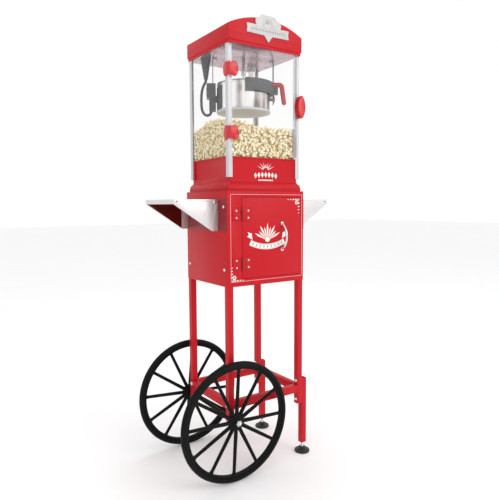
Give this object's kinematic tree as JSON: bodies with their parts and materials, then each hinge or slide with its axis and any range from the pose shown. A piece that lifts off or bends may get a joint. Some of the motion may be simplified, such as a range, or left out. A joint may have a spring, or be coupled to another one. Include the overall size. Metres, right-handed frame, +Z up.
{
  "type": "popcorn cart",
  "caption": "Two-wheeled cart with a storage cabinet, flip-up side shelves and a glass-sided popcorn machine with a tilting kettle under a curved canopy.",
  "frame": {"origin": "on the floor under the middle of the whole object, wheels and shelves included", "axes": "+Z up, +X to the right along the front, +Y from the front to the back; the case door and cabinet door face -Y"},
  "size_m": [0.618, 0.358, 1.412],
  "materials": {
    "red_paint": "glossy red paint",
    "dark_red_paint": "dark red paint",
    "black_paint": "satin black paint",
    "tyre": "matt black rubber",
    "zinc": "bright plated steel",
    "stainless": "brushed stainless steel",
    "white_aluminium": "pale anodised aluminium",
    "glass": "clear tempered glass",
    "red_plastic": "glossy red plastic",
    "black_plastic": "matt black plastic",
    "black_rubber": "soft black rubber",
    "popcorn": "popped corn, matt and uneven",
    "kettle_steel": "spun stainless steel",
    "mirror_ceiling": "polished metal panel",
    "pewter": "cast grey metal",
    "dark_steel": "dark oiled steel",
    "lamp_glass": "frosted warm white lamp glass"
  },
  "bodies": {
    "root": {"leg_front_left": "red_paint", "leg_front_right": "red_paint", "leg_back_left": "red_paint", "leg_back_right": "red_paint", "rail_front": "red_paint", "rail_back": "red_paint", "side_rails": "red_paint", "foot_leg_front": "red_paint", "foot_leg_back": "red_paint", "axle": "black_paint", "frame_fasteners": "zinc", "cabinet_shell": "red_paint", "cabinet_front_frame": "red_paint", "cabinet_top": "red_paint", "door_hinges_fixed": "red_paint", "shelf_wall_plates": "dark_red_paint", "shelf_pins": "zinc", "machine_base": "red_paint", "popcorn_tray": "stainless", "popcorn": "popcorn", "corner_posts": "white_aluminium", "glass_left": "glass", "glass_right": "glass", "glass_back": "glass", "glass_door_hinges": "red_plastic", "canopy": "red_paint", "plaque": "pewter", "ceiling_panel": "mirror_ceiling", "hanger_arms": "dark_steel", "drive_motor": "dark_steel", "kettle_connector": "black_plastic", "kettle_lead": "black_rubber", "strain_relief": "black_rubber", "lamp": "lamp_glass", "power_inlet": "black_plastic"},
    "front_wheel": {"wheel_front": "black_paint", "tyre_front": "tyre"},
    "back_wheel": {"wheel_back": "black_paint", "tyre_back": "tyre"},
    "front_foot": {"levelling_foot_front": "black_plastic"},
    "back_foot": {"levelling_foot_back": "black_plastic"},
    "cabinet_door": {"cart_door": "red_paint", "door_hinge_leaves": "red_paint", "door_pull": "zinc"},
    "left_shelf": {"shelf_left": "stainless"},
    "right_shelf": {"shelf_right": "stainless"},
    "case_door": {"glass_door": "glass", "glass_door_clips": "red_plastic", "glass_door_knob": "red_plastic"},
    "kettle": {"kettle_pot": "kettle_steel", "kettle_base_pan": "kettle_steel", "kettle_guard": "black_plastic", "kettle_handle": "red_plastic", "kettle_strap": "dark_steel"},
    "front_lid": {"lid_front": "kettle_steel"},
    "rear_lid": {"lid_rear": "kettle_steel"},
    "kettle_stirrer": {"stirrer": "kettle_steel"},
    "drive": {"drive_shaft": "dark_steel"},
    "heat_switch": {"rocker_heat": "black_plastic"},
    "light_switch": {"rocker_light": "black_plastic"}
  },
  "joints": [
    {"name": "front_wheel_spin", "type": "hinge", "parent": "root", "child": "front_wheel", "pos_m": [-0.122, -0.155, 0.187], "axis": [0, 1, 0], "continuous": true},
    {"name": "back_wheel_spin", "type": "hinge", "parent": "root", "child": "back_wheel", "pos_m": [-0.122, 0.155, 0.187], "axis": [0, 1, 0], "continuous": true},
    {"name": "front_foot_screw", "type": "slide", "parent": "root", "child": "front_foot", "axis": [0, 0, 1], "range_m": [-0.012, 0]},
    {"name": "back_foot_screw", "type": "slide", "parent": "root", "child": "back_foot", "axis": [0, 0, 1], "range_m": [-0.012, 0]},
    {"name": "cabinet_door_hinge", "type": "hinge", "parent": "root", "child": "cabinet_door", "pos_m": [-0.081, -0.133, 0.744], "axis": [0, 0, -1], "range_deg": [0, 110]},
    {"name": "left_shelf_hinge", "type": "hinge", "parent": "root", "child": "left_shelf", "pos_m": [-0.146, 0.021, 0.853], "axis": [0, 1, 0], "range_deg": [0, 90]},
    {"name": "right_shelf_hinge", "type": "hinge", "parent": "root", "child": "right_shelf", "pos_m": [0.172, 0.021, 0.853], "axis": [0, -1, 0], "range_deg": [0, 90]},
    {"name": "case_door_hinge", "type": "hinge", "parent": "root", "child": "case_door", "pos_m": [-0.1205, -0.1275, 1.153], "axis": [0, 0, -1], "range_deg": [0, 110]},
    {"name": "kettle_tilt", "type": "hinge", "parent": "root", "child": "kettle", "pos_m": [0.013, 0, 1.188], "axis": [0.866, -0.5, 0], "range_deg": [0, 45]},
    {"name": "front_lid_hinge", "type": "hinge", "parent": "kettle", "child": "front_lid", "pos_m": [0.0045, -0.01472, 1.2377], "axis": [-0.866, 0.5, 0], "range_deg": [0, 75]},
    {"name": "rear_lid_hinge", "type": "hinge", "parent": "kettle", "child": "rear_lid", "pos_m": [0.0215, 0.01472, 1.2377], "axis": [0.866, -0.5, 0], "range_deg": [0, 75]},
    {"name": "stirrer_spin", "type": "hinge", "parent": "kettle", "child": "kettle_stirrer", "pos_m": [0.013, 0, 1.188], "axis": [0, 0, 1], "continuous": true},
    {"name": "drive_spin", "type": "hinge", "parent": "root", "child": "drive", "pos_m": [0.013, 0, 1.27], "axis": [0, 0, 1], "continuous": true},
    {"name": "heat_switch_rock", "type": "hinge", "parent": "root", "child": "heat_switch", "pos_m": [-0.027, 0.111, 0.95], "axis": [1, 0, 0], "range_deg": [0, 20]},
    {"name": "light_switch_rock", "type": "hinge", "parent": "root", "child": "light_switch", "pos_m": [0.001, 0.111, 0.95], "axis": [1, 0, 0], "range_deg": [0, 20]}
  ],
  "couplings": [
    {"joint": "drive_spin", "follows": "stirrer_spin", "ratio": 1}
  ]
}
